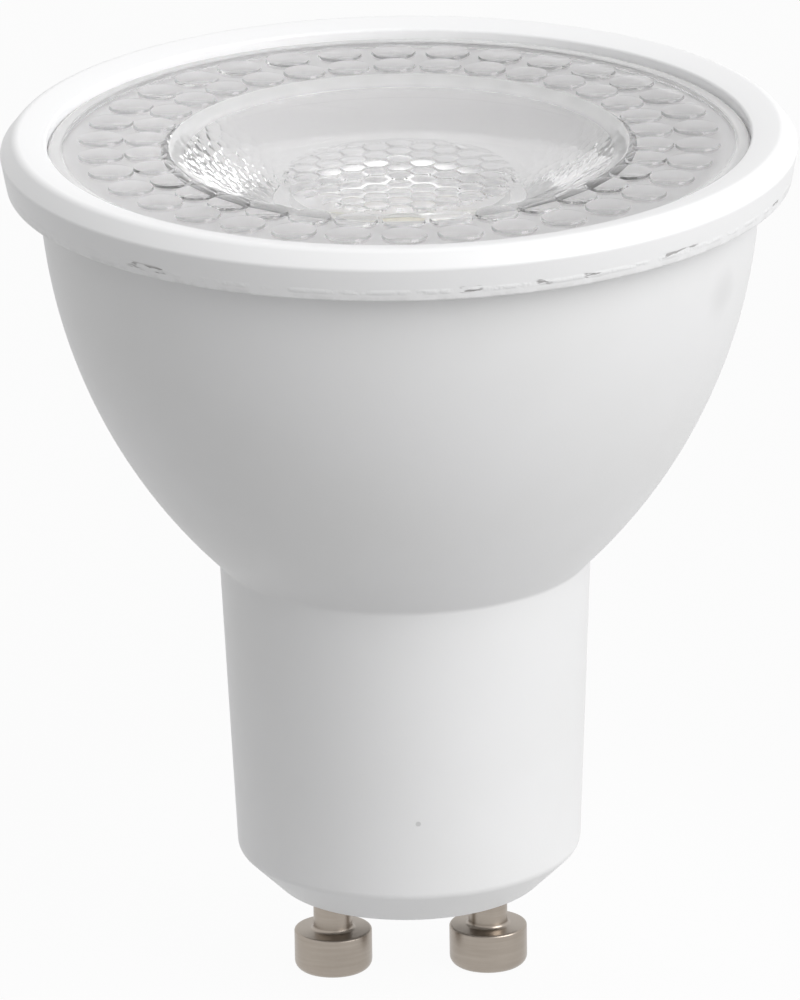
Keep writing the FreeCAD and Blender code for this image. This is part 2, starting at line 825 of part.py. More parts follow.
def make_feed_bushing():
    # Insulating sleeve that brings the two feed wires through the cup's floor.
    low = spreader_floor
    flange_radius = bushing_radius + size("bushing_flange_reach")
    body = new_body("feed_bushing")
    turn(body, "sleeve", [
        (0, low - size("bushing_flange_thick")),
        (flange_radius, low - size("bushing_flange_thick")),
        (flange_radius, low),
        (bushing_radius, low),
        (bushing_radius, pad_top),
        (0, pad_top),
    ])
    tall = pad_top - low + size("bushing_flange_thick")
    hole = drill(body, "sleeve_hole", size("feed_wire_pitch") / 2, feed_hole,
                 low - size("bushing_flange_thick"), tall)
    around(body, "sleeve_holes", hole, 2)
    return body


def make_feed_wire(label, side):
    # Stiff wire from the driver board through the light board, with its solder cone.
    across = side * size("feed_wire_pitch") / 2
    low = can_top + size("feed_wire_gap")
    wire = rod(f"{label}_wire", size("feed_wire_radius"),
               light_board_top + size("feed_wire_rise") - low, (across, 0, low))
    solder = doc.addObject("Part::Cone", f"{label}_solder")
    bind(solder, "Radius1", size("solder_radius"))
    bind(solder, "Radius2", size("feed_wire_radius"))
    bind(solder, "Height", size("solder_height"))
    place(solder, (across, 0, light_board_top))
    return fuse(label, [wire, solder])


def leg_spots():
    # Where the legs of the wired parts pass through the driver board, across and up.
    fuse_end = size("fuse_length") / 2 + size("axial_leg_out")
    diode_end = size("diode_length") / 2 + size("axial_leg_out")
    middle = length(0)
    return {
        "can": [(middle, can_height + turn * size("can_leg_pitch") / 2) for turn in (1, -1)],
        "choke": [(middle, choke_height + turn * size("choke_leg_pitch") / 2)
                  for turn in (1, -1)],
        "film": [(turn * (film_width / 2 - size("film_leg_inset")), film_height)
                 for turn in (1, -1)],
        "fuse": [(-axial_across, axial_height + turn * fuse_end)
                 for turn in (1, -1)],
        "diode": [(axial_across, axial_height + turn * diode_end)
                  for turn in (1, -1)],
    }


def make_driver_board():
    body = new_body("driver_blank")
    panel = body.newObject("PartDesign::AdditiveBox", "driver_panel")
    bind(panel, "Length", driver_width)
    bind(panel, "Width", size("driver_thick"))
    bind(panel, "Height", driver_top - driver_bottom)
    place(panel, (-driver_width / 2, board_front, driver_bottom))
    body.Tip = panel
    doc.recompute()
    low = driver_bottom.value

    def low_corner(edge):
        first, last = (vertex.Point for vertex in edge.Vertexes)
        along_board = abs(first.y - last.y) > 1e-4
        return along_board and abs(first.z - low) < 1e-4

    dress(body, "driver_corners", "Chamfer", low_corner, size("driver_corner"))
    bore = size("leg_radius") + size("hole_clearance")
    tools = [rod(f"{part}_bore_{index}", bore, size("driver_thick"),
                 (across, board_front, up), ALONG_BACK)
             for part, spots in leg_spots().items() for index, (across, up) in enumerate(spots)]
    return cut("driver_board", body, tools)


def legs(part, start):
    # Round legs from the plane start, in front of the board, to their tails behind it.
    long = board_back + size("leg_tail") - start
    return [rod(f"{part}_leg_{index}", size("leg_radius"), long, (across, start, up), ALONG_BACK)
            for index, (across, up) in enumerate(leg_spots()[part])]


def make_bulk_capacitor():
    # Round can lying forward from the board, with a rolled groove near its seal.
    body = new_body("can")
    radius, groove = size("can_radius"), size("can_groove_depth")
    middle, end = size("can_groove_place"), can_length
    turn(body, "can_shape", [
        (0, 0),
        (radius, 0),
        (radius, middle - groove),
        (radius - groove, middle),
        (radius, middle + groove),
        (radius, end - size("can_edge")),
        (radius - size("can_edge"), end),
        (0, end),
    ])
    place(body, (0, board_front, can_height), ALONG_FRONT)
    return fuse("bulk_capacitor", [body] + legs("can", board_front - size("can_edge")))


def make_choke_core():
    # Ferrite spool.
    body = new_body("spool")
    flange, end = size("choke_flange"), size("choke_length")
    turn(body, "spool_shape", [
        (0, 0),
        (size("choke_radius"), 0),
        (size("choke_radius"), flange),
        (size("choke_core_radius"), flange),
        (size("choke_core_radius"), end - flange),
        (size("choke_radius"), end - flange),
        (size("choke_radius"), end),
        (0, end),
    ])
    place(body, (0, board_front, choke_height), ALONG_FRONT)
    return fuse("choke_core", [body] + legs("choke", board_front - size("choke_flange") / 2))


def make_choke_winding():
    long = size("choke_length") - 2 * size("choke_flange")
    spot = (0, board_front - size("choke_flange"), choke_height)
    coil = rod("winding_outside", size("choke_radius") - size("choke_wire_inset"), long, spot,
               ALONG_FRONT)
    hollow = rod("winding_inside", size("choke_core_radius"), long, spot, ALONG_FRONT)
    return cut("choke_winding", coil, [hollow])


def make_film_capacitor():
    body = new_body("film_block")
    block = body.newObject("PartDesign::AdditiveBox", "film_box")
    bind(block, "Length", film_width)
    bind(block, "Width", size("film_depth"))
    bind(block, "Height", size("film_tall"))
    place(block, (-film_width / 2, board_front - size("film_depth"),
                  film_height - size("film_tall") / 2))
    body.Tip = block
    doc.recompute()
    dress(body, "film_round", "Fillet", lambda edge: True, size("film_edge"))
    return fuse("film_capacitor", [body] + legs("film", board_front - size("film_edge")))


def make_axial(label, part, side, radius, long, rims, seat_radius):
    # Round body along Z, flat on the board, with both legs bent back into it.
    across = side * axial_across
    back = board_front - seat_radius
    middle = axial_height
    pieces = [rod(f"{part}_barrel", radius, long, (across, back, middle - long / 2))]
    for index, (low, rim_length, rim_radius) in enumerate(rims):
        pieces.append(rod(f"{part}_rim_{index}", rim_radius, rim_length, (across, back, low)))
    out = size("axial_leg_out")
    pieces.append(rod(f"{part}_lead", size("leg_radius"), long + 2 * out,
                      (across, back, middle - long / 2 - out)))
    for index, (_, up) in enumerate(leg_spots()[part]):
        elbow = doc.addObject("Part::Sphere", f"{part}_elbow_{index}")
        bind(elbow, "Radius", size("leg_radius"))
        pieces.append(place(elbow, (across, back, up)))
    return fuse(label, pieces + legs(part, back))


def make_fuse_resistor():
    radius, long, cap = size("fuse_radius"), size("fuse_length"), size("fuse_cap_length")
    low = axial_height - long / 2
    rims = [(low, cap, fuse_cap_radius), (low + long - cap, cap, fuse_cap_radius)]
    return make_axial("fuse_resistor", "fuse", -1, radius, long, rims, fuse_cap_radius)


def make_diode():
    radius, long, band = size("diode_radius"), size("diode_length"), size("diode_band_length")
    top = axial_height + long / 2
    band_radius = radius + size("diode_band_rise")
    rims = [(top - 2 * band, band, band_radius)]
    return make_axial("flyback_diode", "diode", 1, radius, long, rims, band_radius)


def make_flat_pack(label, part, middle, up, foot_count):
    # Moulded block on the back of the board with a row of feet along top and bottom.
    wide, tall = size(f"{part}_width"), size(f"{part}_tall")
    pieces = [box(f"{part}_block", (wide, size(f"{part}_depth"), tall),
                  (middle - wide / 2, board_back, up - tall / 2))]
    foot = (size("foot_width"), size("foot_thick"), tall + 2 * size("foot_reach"))
    for index in range(foot_count):
        shift = (index - (foot_count - 1) / 2) * size(f"{part}_foot_pitch")
        pieces.append(box(f"{part}_foot_{index}", foot,
                          (middle + shift - size("foot_width") / 2, board_back,
                           up - foot[2] / 2)))
    return fuse(label, pieces)


def make_small_chip(kind, index, side):
    # Soldered block with a metal end at each side, in a column on the board's back.
    label = f"small_{kind}_{index + 1}"
    wide, tall = size("small_width"), size("small_tall")
    deep, end, proud = size(f"small_{kind}_depth"), size("small_end"), size("small_end_rise")
    left = side * size("small_across") - wide / 2
    low = choke_height - size("small_drop") + index * size("small_pitch") - tall / 2
    pieces = [box(f"{label}_block", (wide, deep, tall), (left, board_back + proud, low))]
    for name, across in (("left", left), ("right", left + wide - end)):
        pieces.append(box(f"{label}_{name}", (end, deep + 2 * proud, tall),
                          (across, board_back, low)))
    return fuse(label, pieces)


def export():
    doc.recompute()
    for thing in doc.Objects:
        if "Invalid" in thing.State or "Error" in thing.State:
            raise RuntimeError(f"{thing.Name} failed: {thing.State}")
    for thing in subparts:
        if thing.Shape.isNull() or not thing.Shape.isValid():
            raise RuntimeError(f"{thing.Label} has no valid shape")
    os.makedirs("parts", exist_ok=True)
    for thing in subparts:
        thing.Shape.exportStep(f"parts/{thing.Label}.step")
        print(thing.Label, len(thing.Shape.Solids), round(thing.Shape.Volume, 1))


keep(make_housing())
keep(make_trim_ring())
keep(make_lens())
keep(make_heat_spreader())
keep(make_thermal_pad())
keep(make_light_board())
for index in range(sizes["chip_count"]):
    keep(make_light_chip(index))
for side_name, side in (("left", -1), ("right", 1)):
    keep(make_contact_pin(f"contact_pin_{side_name}", side))
    keep(make_pin_collar(f"pin_collar_{side_name}", side))
    keep(make_pin_wire(f"pin_wire_{side_name}", side))
    keep(make_board_screw(f"board_screw_{side_name}", side))
    keep(make_feed_wire(f"feed_wire_{side_name}", side))
keep(make_feed_bushing())
keep(make_driver_board())
keep(make_bulk_capacitor())
keep(make_choke_core())
keep(make_choke_winding())
keep(make_film_capacitor())
keep(make_fuse_resistor())
keep(make_diode())
bridge_up = (choke_height - size("choke_leg_pitch") / 2 - size("bridge_gap")
             - size("bridge_tall") / 2)
control_across = driver_width / 2 - size("control_side_gap")
control_up = can_height - size("control_drop")
keep(make_flat_pack("bridge_rectifier", "bridge", length(0), bridge_up, 2))
keep(make_flat_pack("control_chip", "control", -control_across, control_up, 4))
for index in range(4):
    keep(make_small_chip("resistor", index, 1))
for index in range(2):
    keep(make_small_chip("capacitor", index, -1))
export()
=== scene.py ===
import bmesh
import bpy
import math
from mathutils import Matrix, Vector
from mathutils.geometry import delaunay_2d_cdt


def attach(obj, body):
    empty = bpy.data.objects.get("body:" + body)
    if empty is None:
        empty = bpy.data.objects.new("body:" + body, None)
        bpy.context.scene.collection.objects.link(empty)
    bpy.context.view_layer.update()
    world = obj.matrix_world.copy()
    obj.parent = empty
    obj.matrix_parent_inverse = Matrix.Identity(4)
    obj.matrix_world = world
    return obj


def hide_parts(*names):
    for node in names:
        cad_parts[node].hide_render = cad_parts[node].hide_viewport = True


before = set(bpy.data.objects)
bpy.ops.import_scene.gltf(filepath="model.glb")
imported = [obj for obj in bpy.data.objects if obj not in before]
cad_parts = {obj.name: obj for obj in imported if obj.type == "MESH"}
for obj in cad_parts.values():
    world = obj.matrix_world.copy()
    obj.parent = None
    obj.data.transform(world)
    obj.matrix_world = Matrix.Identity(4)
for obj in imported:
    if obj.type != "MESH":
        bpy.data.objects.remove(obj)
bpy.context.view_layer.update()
mm = 0.001
fullTurn = 2 * math.pi
# Edges that turn by more than this stay sharp, degrees.
sharpAngle = {"plain": 32.0, "lens": 24.0}

# Where the photograph was taken from: millimetres and degrees.
cameraSet = {
    "distance": 827.5,
    "targetHeight": 27.0,
    "elevation": 19.68,
    "heading": -2.48,
    "aimDown": 19.37,
    "aimAside": -0.02,
    "roll": -0.86,
    "lens": 466.6,
    "sensor": 36.0,
    "nearest": 0.01,
    "farthest": 20.0,
}

# Power in watts, sizes and places in metres.
lightSet = {
    "ambient": 0.55,
    "keyPower": 7.0,
    "keySize": 0.9,
    "keyPlace": (0.68, -0.51, 0.55),
    "topPower": 1.4,
    "topSize": 0.6,
    "topPlace": (0.05, 0.25, 0.95),
    "aim": (0.0, 0.0, 0.035),
    "bounces": 14,
}


def placeCamera(sizes):
    data = bpy.data.cameras.new("studioCamera")
    data.sensor_width = sizes["sensor"]
    data.lens = sizes["lens"]
    data.clip_start = sizes["nearest"]
    data.clip_end = sizes["farthest"]
    camera = bpy.data.objects.new("studioCamera", data)
    rise = math.radians(sizes["elevation"])
    heading = math.radians(sizes["heading"])
    away = sizes["distance"] * math.cos(rise)
    height = sizes["targetHeight"] + sizes["distance"] * math.sin(rise)
    spot = Vector((away * math.sin(heading), -away * math.cos(heading), height)) * mm
    turned = (Matrix.Rotation(heading - math.radians(sizes["aimAside"]), 4, "Z")
              @ Matrix.Rotation(math.radians(90 - sizes["aimDown"]), 4, "X")
              @ Matrix.Rotation(math.radians(sizes["roll"]), 4, "Z"))
    camera.matrix_world = Matrix.Translation(spot) @ turned
    bpy.context.scene.collection.objects.link(camera)
    bpy.context.scene.camera = camera


def softLight(name, power, size, spot):
    data = bpy.data.lights.new(name, "AREA")
    data.shape = "DISK"
    data.energy = power
    data.size = size
    light = bpy.data.objects.new(name, data)
    aim = Vector(lightSet["aim"]) - Vector(spot)
    turned = aim.to_track_quat("-Z", "Y").to_matrix().to_4x4()
    light.matrix_world = Matrix.Translation(spot) @ turned
    bpy.context.scene.collection.objects.link(light)
    return light


class Value:
    # A node's output that takes part in plain arithmetic.
    def __init__(self, finish, socket):
        self.finish = finish
        self.socket = socket

    def maths(self, operation, *others):
        values = [self, *others]
        made = self.finish.node("ShaderNodeMath", {"operation": operation},
                                **{str(index): value for index, value in enumerate(values)})
        return made[0]

    def __add__(self, other):
        return self.maths("ADD", other)

    def __sub__(self, other):
        return self.maths("SUBTRACT", other)

    def __rsub__(self, other):
        return self.finish.number(other).maths("SUBTRACT", self)

    def __mul__(self, other):
        return self.maths("MULTIPLY", other)

    def __truediv__(self, other):
        return self.maths("DIVIDE", other)

    def __pow__(self, other):
        return self.maths("POWER", other)

    __radd__ = __add__
    __rmul__ = __mul__

    def rises(self, low, high):
        # 0 at low and 1 at high, eased at both ends.
        return self.finish.node("ShaderNodeMapRange", {"interpolation_type": "SMOOTHSTEP"},
                                **{"Value": self, "From Min": low, "From Max": high})[0]

    def falls(self, low, high):
        return 1.0 - self.rises(low, high)


class Outputs:
    # A new node, whose outputs are asked for by name or by index.
    def __init__(self, finish, node):
        self.finish = finish
        self.node = node

    def __getitem__(self, key):
        return Value(self.finish, self.node.outputs[key])


class Finish:
    # A node tree for a material, a world or a modifier.
    def __init__(self, tree):
        self.tree = tree

    def node(self, kind, settings=None, **values):
        made = self.tree.nodes.new(kind)
        for key, setting in (settings or {}).items():
            setattr(made, key, setting)
        for key, value in values.items():
            socket = made.inputs[int(key)] if key.isdigit() else made.inputs[key]
            if isinstance(value, Value):
                self.tree.links.new(value.socket, socket)
            else:
                socket.default_value = value
        return Outputs(self, made)

    def number(self, value):
        made = self.tree.nodes.new("ShaderNodeValue")
        made.outputs[0].default_value = value
        return Value(self, made.outputs[0])

    def place(self):
        return self.node("ShaderNodeTexCoord")["Object"]

    def apart(self, place):
        split = self.node("ShaderNodeSeparateXYZ", **{"0": place})
        return split[0], split[1], split[2]

    def reach(self, across, back):
        # Distance from the upright axis.
        return (across * across + back * back) ** 0.5

    def seen(self):
        # 1 for rays from the camera, also by way of gloss or clear plastic.
        path = self.node("ShaderNodeLightPath")
        direct = path["Is Camera Ray"].maths("MAXIMUM", path["Is Glossy Ray"])
        return direct.maths("MAXIMUM", path["Is Transmission Ray"])

    def noise(self, place, scale, detail=2.0, roughness=0.5):
        return self.node("ShaderNodeTexNoise", **{
            "Vector": place, "Scale": scale, "Detail": detail, "Roughness": roughness})["Fac"]

    def blend(self, share, low, high):
        made = self.node("ShaderNodeMix", {"data_type": "RGBA"},
                         **{"0": share, "6": low, "7": high})
        return made[2]

    def patches(self, place, spots, grain, core=0.6):
        # 1 in small ragged patches, each across, back, up and radius in millimetres.
        ragged = self.noise(place, grain)
        patch = self.number(0.0)
        for across, back, up, radius in spots:
            away = self.node("ShaderNodeVectorMath", {"operation": "DISTANCE"}, **{
                "0": place, "1": (across * mm, back * mm, up * mm)})["Value"]
            reach = (away / (radius * mm)) * (0.6 + 0.8 * ragged)
            patch = patch.maths("MAXIMUM", reach.falls(core, 1.0))
        return patch

    def bump(self, height, strength, distance):
        return self.node("ShaderNodeBump", **{
            "Height": height, "Strength": strength, "Distance": distance})["Normal"]


def grey(level):
    return (level, level, level, 1.0)


def newFinish(name):
    material = bpy.data.materials.new(name)
    material.use_nodes = True
    material.node_tree.nodes.clear()
    return material, Finish(material.node_tree)


def surface(finish, settings):
    shader = finish.node("ShaderNodeBsdfPrincipled", **settings)
    finish.node("ShaderNodeOutputMaterial", **{"Surface": shader["BSDF"]})


# The white plastic. Marks are across, back, up and radius in millimetres, and heights in metres.
plastic = {
    "bending": 1.49,
    "shell": (0.86, 0.86, 0.865, 1.0),
    "shellWarm": (0.83, 0.83, 0.83, 1.0),
    "scuff": (0.5, 0.5, 0.5, 1.0),
    "ring": (0.9, 0.9, 0.905, 1.0),
    # Painted shade for the ring's lowest band.
    "worn": (0.72, 0.72, 0.72, 1.0),
    "nick": (0.42, 0.41, 0.41, 1.0),
    "dotGrain": 4000.0,
    "shellScuffs": ((19.6, -10.6, 48.6, 2.3),),
    "shellDots": ((0.1, -11.22, 13.9, 0.2),),
    "ringNicks": (
        (16.6, -18.6, 54.0, 1.9), (10.9, -22.4, 54.0, 0.8), (7.8, -23.6, 54.0, 0.6),
        (3.2, -24.7, 54.0, 0.9), (-16.5, -18.6, 54.0, 2.0), (23.1, -9.3, 54.0, 0.7),
    ),
    "ringDots": ((-19.1, 10.5, 56.3, 0.2), (-17.5, 17.1, 56.5, 0.14), (-2.8, 24.3, 56.5, 0.16)),
    "flashFrom": (0.05375, 0.05395),
    "flashTo": (0.054, 0.0542),
    "wornTo": (0.05345, 0.05385),
    "nicksFrom": (0.0537, 0.0539),
    "nicksTo": (0.0541, 0.0543),
}


def shellFinish():
    material, finish = newFinish("satinShell")
    place = finish.place()
    tone = finish.noise(place, 60.0, 3.0)
    grain = finish.noise(place, 5200.0)
    soft = finish.noise(place, 900.0)
    # A soft grey mark on the bell's right side, coloured darker than the plastic around it.
    greyMarks = finish.patches(place, plastic["shellScuffs"], 500.0, 0.1) * 0.22
    dots = finish.patches(place, plastic["shellDots"], plastic["dotGrain"]) * 0.6
    white = finish.blend(tone.rises(0.35, 0.7), plastic["shell"], plastic["shellWarm"])
    surface(finish, {
        "Base Color": finish.blend(greyMarks.maths("MAXIMUM", dots), white, plastic["scuff"]),
        "Roughness": 0.36 + 0.1 * soft,
        "IOR": plastic["bending"],
        "Normal": finish.bump(grain + soft * 0.5, 0.12, 0.00003),
    })
    return material


def ringFinish():
    material, finish = newFinish("satinRing")
    place = finish.place()
    soft = finish.noise(place, 1100.0)
    grain = finish.noise(place, 4800.0)
    up = finish.apart(place)[2]
    # A thin ragged line of flash runs round above the lower edge, with a few grey nicks in it.
    ragged = finish.noise(place, 700.0, 3.0, 0.65).rises(0.4, 0.6)
    flash = up.rises(*plastic["flashFrom"]) * up.falls(*plastic["flashTo"]) * ragged
    # Below the flash the lowest band is painted darker, painted shade where the lower rounding
    # turns down into the contact shadow.
    worn = up.falls(*plastic["wornTo"]) * ragged
    drawn = finish.node("ShaderNodeMapping", **{
        "Vector": place, "Scale": (900.0, 900.0, 4200.0)})["Vector"]
    broken = finish.noise(drawn, 1.0).rises(0.5, 0.62)
    nickLine = up.rises(*plastic["nicksFrom"]) * up.falls(*plastic["nicksTo"])
    nicks = finish.patches(place, plastic["ringNicks"], 300.0) * nickLine * broken
    dots = finish.patches(place, plastic["ringDots"], plastic["dotGrain"]) * 0.5
    edge = finish.blend(worn * 0.5, plastic["ring"], plastic["worn"])
    relief = grain * 0.03 + soft * 0.015 + flash * 0.35 - nicks * 0.5
    surface(finish, {
        "Base Color": finish.blend(nicks.maths("MAXIMUM", dots), edge, plastic["nick"]),
        "Roughness": 0.3 + 0.1 * soft,
        "IOR": plastic["bending"],
        "Normal": finish.bump(relief, 1.0, 0.0001),
    })
    return material


# The clear plastic. Pairs named Up are heights, pairs named Out are distances from the axis and
# pebbleLeft is a place across, all in metres. pebbleSides is a share, 1 straight to the side.
glass = {
    "bending": 1.49,
    "tint": (1.0, 0.995, 1.0, 1.0),
    "milk": 0.93,
    "lowConeUp": (0.0532, 0.0533),
    "lowConeOut": (0.0085, 0.0087),
    "highConeUp": (0.05408, 0.05413),
    "highConeOut": (0.014, 0.0141),
    "pebbleScale": 1250.0,
    "pebbleSides": (0.5, 0.85),
    "pebbleLeft": (-0.003, 0.003),
    "pebbleDepth": 0.0002,
    "topUp": (0.0556, 0.05562),
    "topHaze": 0.04,
    "bowlUp": (0.0533, 0.05335),
    "bowlOut": (0.0145, 0.01465),
    "bowlHaze": 0.13,
    "rimUp": (0.0546, 0.0549),
    "rimOut": (0.0132, 0.0139),
    "rimHaze": 0.22,
    "landUp": (0.0554, 0.05545),
    "landOut": (0.0211, 0.0215),
    "landHaze": 0.5,
    "flangeUp": (0.0554, 0.0555),
    "flangeOut": (0.0213, 0.0214),
    "undersideUp": (0.05416, 0.05419),
    "undersideOut": (0.01505, 0.01515),
    "wellUp": (0.0507, 0.0508),
    "wellOut": (0.0073, 0.0074),
}


def lensFinish():
    material, finish = newFinish("clearLens")
    g = glass
    place = finish.place()
    across, back, up = finish.apart(place)
    reach = finish.reach(across, back)
    wipe = finish.noise(place, 350.0, 3.0)
    # Pebbled at both sides of the outer cone, and more deeply at its left.
    lowCone = up.falls(*g["lowConeUp"]) * reach.rises(*g["lowConeOut"])
    highCone = up.falls(*g["highConeUp"]) * reach.rises(*g["highConeOut"])
    outerCone = lowCone.maths("MAXIMUM", highCone)
    pebbles = finish.node("ShaderNodeTexVoronoi", **{
        "Vector": place, "Scale": g["pebbleScale"]})["Distance"]
    aside = (across * across) ** 0.5 / reach
    leftward = across.falls(*g["pebbleLeft"])
    pebbled = outerCone * aside.rises(*g["pebbleSides"]) * (0.15 + 0.25 * leftward)
    # Faintly milky on top and inside the bowl, more so at its rim and on the land by the ring.
    inBowl = reach.falls(*g["bowlOut"])
    hazed = g["topHaze"] * up.rises(*g["topUp"])
    hazed = hazed + g["bowlHaze"] * up.rises(*g["bowlUp"]) * inBowl
    hazed = hazed + g["rimHaze"] * reach.rises(*g["rimOut"]) * up.rises(*g["rimUp"]) * inBowl
    hazed = hazed + g["landHaze"] * reach.rises(*g["landOut"]) * up.rises(*g["landUp"])
    # Frosted under the flat ring, on the flange and in the well.
    flange = reach.rises(*g["flangeOut"]) * up.falls(*g["flangeUp"])
    underside = up.falls(*g["undersideUp"]) * reach.rises(*g["undersideOut"])
    well = up.falls(*g["wellUp"]) * reach.falls(*g["wellOut"])
    frosted = 0.55 * underside + 0.5 * flange + 0.35 * well
    clear = finish.node("ShaderNodeBsdfPrincipled", **{
        "Base Color": g["tint"],
        "Roughness": 0.015 + 0.03 * wipe.rises(0.5, 0.8) + frosted,
        "IOR": g["bending"],
        "Transmission Weight": 1.0,
        "Normal": finish.bump(pebbled * pebbles * pebbles, 1.0, g["pebbleDepth"]),
    })
    haze = finish.node("ShaderNodeBsdfDiffuse", **{"Color": grey(g["milk"])})
    mix = finish.node("ShaderNodeMixShader", **{
        "0": hazed, "1": clear["BSDF"], "2": haze["BSDF"]})
    finish.node("ShaderNodeOutputMaterial", **{"Surface": mix["Shader"]})
    return material


def metalFinish(name, dark, light, rough):
    material, finish = newFinish(name)
    place = finish.place()
    lines = finish.node("ShaderNodeMapping", **{
        "Vector": place, "Scale": (300.0, 300.0, 5200.0)})["Vector"]
    turned = finish.noise(lines, 1.0, 3.0)
    worn = finish.noise(place, 500.0, 3.0)
    surface(finish, {
        "Base Color": finish.blend(turned * 0.5 + worn * 0.5, dark, light),
        "Metallic": 1.0,
        "Roughness": rough + 0.14 * worn,
        "Normal": finish.bump(turned, 0.35, 0.00002),
    })
    return material


def dullFinish(name, dark, light, rough):
    material, finish = newFinish(name)
    tone = finish.noise(finish.place(), 900.0, 3.0)
    surface(finish, {
        "Base Color": finish.blend(tone, dark, light),
        "Metallic": 0.0,
        "Roughness": rough + 0.12 * tone,
        "Normal": finish.bump(tone, 0.15, 0.00004),
    })
    return material


# The light board and its chips. Pairs are heights or distances from the axis, metres.
lightBoard = {
    "package": (0.86, 0.86, 0.82, 1.0),
    "window": (0.88, 0.83, 0.6, 1.0),
    "windowUp": (0.04538, 0.04543),
    "coat": 0.92,
    "track": 0.86,
    "trackFrom": (0.0078, 0.0079),
    "trackTo": (0.0093, 0.0094),
}


def chipFinish():
    # White package with a yellow window, told apart by height.
    material, finish = newFinish("chipWindow")
    place = finish.place()
    up = finish.apart(place)[2]
    tone = finish.noise(place, 2500.0)
    window = up.rises(*lightBoard["windowUp"])
    surface(finish, {
        "Base Color": finish.blend(window, lightBoard["package"], lightBoard["window"]),
        "Roughness": 0.4 + 0.15 * tone,
        "Normal": finish.bump(tone, 0.1, 0.00003),
    })
    return material


def boardFinish():
    # White coat on the light board, with a faint raised ring where the track runs under it.
    material, finish = newFinish("whiteCoat")
    place = finish.place()
    across, back = finish.apart(place)[:2]
    reach = finish.reach(across, back)
    tone = finish.noise(place, 1300.0)
    track = reach.rises(*lightBoard["trackFrom"]) * reach.falls(*lightBoard["trackTo"])
    surface(finish, {
        "Base Color": finish.blend(track, grey(lightBoard["coat"]), grey(lightBoard["track"])),
        "Roughness": 0.35 + 0.12 * tone,
        "Normal": finish.bump(track + tone * 0.1, 0.3, 0.00004),
    })
    return material


def studio():
    world = bpy.data.worlds.new("studioAir")
    bpy.context.scene.world = world
    world.use_nodes = True
    world.node_tree.nodes.clear()
    finish = Finish(world.node_tree)
    strength = lightSet["ambient"] + (1.0 - lightSet["ambient"]) * finish.seen()
    air = finish.node("ShaderNodeBackground", **{"Color": grey(1.0), "Strength": strength})
    finish.node("ShaderNodeOutputWorld", **{"Surface": air["Background"]})
    softLight("keyLight", lightSet["keyPower"], lightSet["keySize"], lightSet["keyPlace"])
    topLight = softLight("topLight", lightSet["topPower"], lightSet["topSize"],
                         lightSet["topPlace"])
    topLight.visible_glossy = False


# The cloth is painted paler near the lamp, a painted pool of light that brightens the lamp's foot
# by bounce. The reach of that pool is in metres from the lamp's axis, the shades are linear.
floorSet = {
    "half": 6.0,
    "nearReach": (0.015, 0.05),
    "nearShade": 0.66,
    "farShade": 0.43,
    "glowShare": 0.95,
}


def floorFinish():
    material, finish = newFinish("paleFloor")
    across, back = finish.apart(finish.place())[:2]
    # A painted pool of light: the floor is coloured paler within a few centimetres of the lamp's
    # axis.
    paintedPool = finish.reach(across, back).falls(*floorSet["nearReach"])
    cloth = finish.node("ShaderNodeBsdfDiffuse", **{
        "Color": finish.blend(paintedPool, grey(floorSet["farShade"]), grey(floorSet["nearShade"]))})
    glow = finish.node("ShaderNodeEmission", **{"Color": grey(1.0), "Strength": 1.0})
    mix = finish.node("ShaderNodeMixShader", **{
        "0": finish.seen() * floorSet["glowShare"], "1": cloth["BSDF"], "2": glow["Emission"]})
    finish.node("ShaderNodeOutputMaterial", **{"Surface": mix["Shader"]})
    return material


def layFloor():
    mesh = bpy.data.meshes.new("studioFloor")
    half = floorSet["half"]
    mesh.from_pydata([(-half, -half, 0), (half, -half, 0), (half, half, 0), (-half, half, 0)], [],
                     [(0, 1, 2, 3)])
    mesh.materials.append(floorFinish())
    floor = bpy.data.objects.new("studioFloor", mesh)
    bpy.context.scene.collection.objects.link(floor)


def eased(corners, steps=6):
    # Corners are (radius, height) or (radius, height, rounding).
    points = []
    for index, corner in enumerate(corners):
        here = Vector(corner[:2])
        if len(corner) == 2:
            points.append(here)
            continue
        before = (Vector(corners[index - 1][:2]) - here).normalized()
        after = (Vector(corners[(index + 1) % len(corners)][:2]) - here).normalized()
        half = before.angle(after) / 2
        inset = corner[2] / math.tan(half)
        centre = here + (before + after).normalized() * (corner[2] / math.sin(half))
        first, last = here + before * inset - centre, here + after * inset - centre
        turn = first.angle_signed(last)
        for step in range(steps + 1):
            spin = Matrix.Rotation(-turn * step / steps, 2)
            points.append(centre + spin @ first)
    return [(point[0], point[1]) for point in points]


def sweep(start, end, radius, left, steps):
    # Points of an arc from start to end, both left out. Its centre is left or right of the way.
    start, end = Vector(start), Vector(end)
    chord = end - start
    aside = Vector((-chord.y, chord.x)).normalized()
    aside *= math.sqrt(radius ** 2 - (chord.length / 2) ** 2)
    centre = start + chord / 2 + (aside if left else -aside)
    first, last = start - centre, end - centre
    turn = -first.angle_signed(last)
    return [tuple(centre + Matrix.Rotation(turn * step / steps, 2) @ first)
            for step in range(1, steps)]


def smoothed(mesh, angle):
    mesh.polygons.foreach_set("use_smooth", [True] * len(mesh.polygons))
    mesh.set_sharp_from_angle(angle=math.radians(angle))


def finishMesh(name, build, material=None):
    bmesh.ops.recalc_face_normals(build, faces=build.faces)
    mesh = bpy.data.meshes.new(name)
    build.to_mesh(mesh)
    build.free()
    smoothed(mesh, sharpAngle["plain"])
    if material:
        mesh.materials.append(material)
    piece = bpy.data.objects.new(name, mesh)
    bpy.context.scene.collection.objects.link(piece)
    return piece


